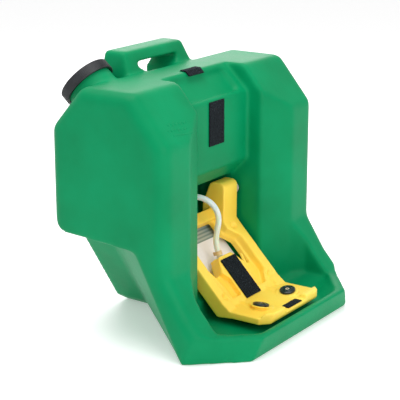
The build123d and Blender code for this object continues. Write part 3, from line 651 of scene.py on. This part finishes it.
def pile_finish():
    """Black looped pile: short curled fibres that catch the light."""
    finish, tree, shader = new_finish(
        "looped_pile", Roughness=0.95, Specular_IOR_Level=0.12,
        Sheen_Weight=0.12, Sheen_Roughness=0.5)
    shader.inputs["Sheen Tint"].default_value = (0.35, 0.42, 0.48, 1)
    place = object_place(tree)
    tuft = add_node(tree, "TexNoise", Vector=place, Scale=420.0, Detail=4.0).outputs["Fac"]
    loop = add_node(tree, "TexVoronoi", Vector=place, Scale=900.0)
    colour = ramp(tree, tuft, (0.38, (0.001, 0.002, 0.003)), (0.58, (0.006, 0.009, 0.012)),
                  (0.75, (0.04, 0.05, 0.06)))
    tree.links.new(colour, shader.inputs["Base Color"])
    relief = add_node(tree, "Bump", Height=loop.outputs["Distance"], Strength=0.9, Distance=0.0008)
    tree.links.new(relief.outputs["Normal"], shader.inputs["Normal"])
    return finish


pile = pile_finish()
tuft_noise = bpy.data.textures.new("tuft_noise", "CLOUDS")
tuft_noise.noise_scale = tuft_size
for node, body in pads.items():
    looped = from_cad(f"{node}_pile", node)
    bpy.ops.object.mode_set(mode="OBJECT")
    modify(looped, "REMESH", mode="VOXEL", voxel_size=pad_cell)
    modify(looped, "SMOOTH", factor=0.5, iterations=3)
    modify(looped, "DISPLACE", texture=tuft_noise, strength=tuft_height, mid_level=0.75)
    looped.data.shade_smooth()
    fit(looped, body, pile, "hook_and_loop", node)

# ------------------------------------------------------------------------------- label
# A white printed film stuck to the back wall behind the arm: grey bands at its top and
# bottom edges, and faint grey lines where instructions stand.
label_low, label_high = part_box("instruction_label")


def banded(tree, share, foot, film, head):
    """A ramp up the label: a grey band at the foot and one at the head, white between."""
    return ramp(tree, share, (0.0, foot), (0.08, foot), (0.085, film[0]),
                (0.80, film[1]), (0.805, head[0]), (1.0, head[1]))


def label_finish():
    """White film; darker lines show only inside the grey bands."""
    finish, tree, shader = new_finish(
        "printed_film", Roughness=0.35, Coat_Weight=0.3, Coat_Roughness=0.2)
    place = object_place(tree)
    height = add_node(tree, "SeparateXYZ", Vector=place).outputs["Z"]
    share = add_node(tree, "MapRange", Value=height, From_Min=label_low.z,
                     From_Max=label_high.z).outputs["Result"]
    lines = add_node(tree, "TexWave", Vector=place, Scale=62.0, bands_direction="Z").outputs["Fac"]
    plain = banded(tree, share, (0.40, 0.47, 0.45), ((0.93, 0.92, 0.95), (0.95, 0.94, 0.97)),
                   ((0.46, 0.54, 0.52), (0.44, 0.52, 0.50)))
    lined = banded(tree, share, (0.16, 0.24, 0.22), ((0.92, 0.91, 0.94), (0.94, 0.93, 0.96)),
                   ((0.20, 0.30, 0.28), (0.18, 0.28, 0.26)))
    mixed = add_node(tree, "Mix", data_type="RGBA")
    tree.links.new(lines, mixed.inputs["Factor"])
    tree.links.new(plain, mixed.inputs[6])
    tree.links.new(lined, mixed.inputs[7])
    tree.links.new(mixed.outputs[2], shader.inputs["Base Color"])
    return finish


def coat(node, finish):
    """Gives a CAD node, whose shape is already right, its finish."""
    mesh = nodes[node].data
    mesh.materials.clear()
    mesh.materials.append(finish)


coat("instruction_label", label_finish())

# ----------------------------------------------------------------------------- fittings
# What joins and seals the rest: white nylon fittings and nut, natural acetal bushes,
# black pins, rubber seals, a spring-steel hose clamp at the tank, an amber nylon one at
# the arm, and a perforated steel screen.
white_nylon = rubber_finish("white_nylon", (0.72, 0.72, 0.69), (0.80, 0.80, 0.78), 0.3, 0.45)
natural_acetal = rubber_finish("natural_acetal", (0.66, 0.66, 0.60), (0.74, 0.74, 0.69), 0.3, 0.42)
black_acetal = rubber_finish(
    "black_acetal", (0.010, 0.010, 0.011), (0.022, 0.022, 0.024), 0.25, 0.4)
amber_nylon = rubber_finish("amber_nylon", (0.62, 0.42, 0.16), (0.74, 0.54, 0.26), 0.3, 0.45)
seal_rubber = rubber_finish("seal_rubber", (0.020, 0.020, 0.020), (0.040, 0.040, 0.038), 0.6, 0.8)


def spring_steel():
    """Steel strip, drawn lengthwise and a little tarnished."""
    finish, tree, shader = new_finish("spring_steel", Metallic=1.0)
    place = object_place(tree)
    tarnish = add_node(tree, "TexNoise", Vector=place, Scale=120.0, Detail=5.0).outputs["Fac"]
    colour = ramp(tree, tarnish, (0.3, (0.42, 0.42, 0.43)), (0.7, (0.62, 0.62, 0.63)))
    tree.links.new(colour, shader.inputs["Base Color"])
    rough = add_node(tree, "MapRange", Value=tarnish, To_Min=0.25, To_Max=0.5)
    tree.links.new(rough.outputs["Result"], shader.inputs["Roughness"])
    return finish


steel = spring_steel()
for node in ("outlet_fitting", "inlet_fitting", "outlet_nut"):
    coat(node, white_nylon)
for node in ("cap_gasket", "cap_vent", "outlet_gasket"):
    coat(node, seal_rubber)
for node in ("hose_clamp_tank", "outlet_screen"):
    coat(node, steel)
coat("hose_clamp_arm", amber_nylon)
for side in ("left", "right"):
    coat(f"pivot_bush_{side}", natural_acetal)
    coat(f"pivot_pin_{side}", black_acetal)
    coat(f"nozzle_stem_{side}", black_acetal)

# -------------------------------------------------------------------------- floor, light
# A pale floor that runs back out of sight, a large soft box overhead, another in front
# and to the left, and an even white surround.
bpy.ops.object.select_all(action="DESELECT")
bpy.ops.mesh.primitive_plane_add(size=14, location=(0, 0, cad_low.z))
floor = bpy.context.object
floor.name = "floor"
floor_paint, _, floor_shader = new_finish("floor_paint", Roughness=0.7)
floor_shader.inputs["Base Color"].default_value = (0.90, 0.90, 0.90, 1)
floor_shader.inputs["Emission Color"].default_value = (1, 1, 1, 1)
floor_shader.inputs["Emission Strength"].default_value = 0.32
floor.data.materials.append(floor_paint)


def soft_box(name, place, aim, size, power):
    """A square area light that looks at a point."""
    light = bpy.data.objects.new(name, bpy.data.lights.new(name, "AREA"))
    bpy.context.scene.collection.objects.link(light)
    light.location = place
    light.rotation_euler = (Vector(aim) - Vector(place)).to_track_quat("-Z", "Y").to_euler()
    light.data.size = size
    light.data.energy = power
    light.visible_camera = False


soft_box("overhead_box", (-0.2, 0.1, 2.1), (0, -0.1, 0.2), 1.6, 28)
soft_box("front_box", (-1.0, -2.2, 1.1), (0, -0.1, 0.25), 1.4, 20)
soft_box("rear_box", (2.4, 1.6, 1.35), (0, 0, 0.45), 1.8, 24)
world = bpy.data.worlds.new("surround")
bpy.context.scene.world = world
world.use_nodes = True
world.node_tree.nodes["Background"].inputs["Color"].default_value = (1, 1, 1, 1)
world.node_tree.nodes["Background"].inputs["Strength"].default_value = 0.7
bpy.context.scene.view_settings.view_transform = "Standard"
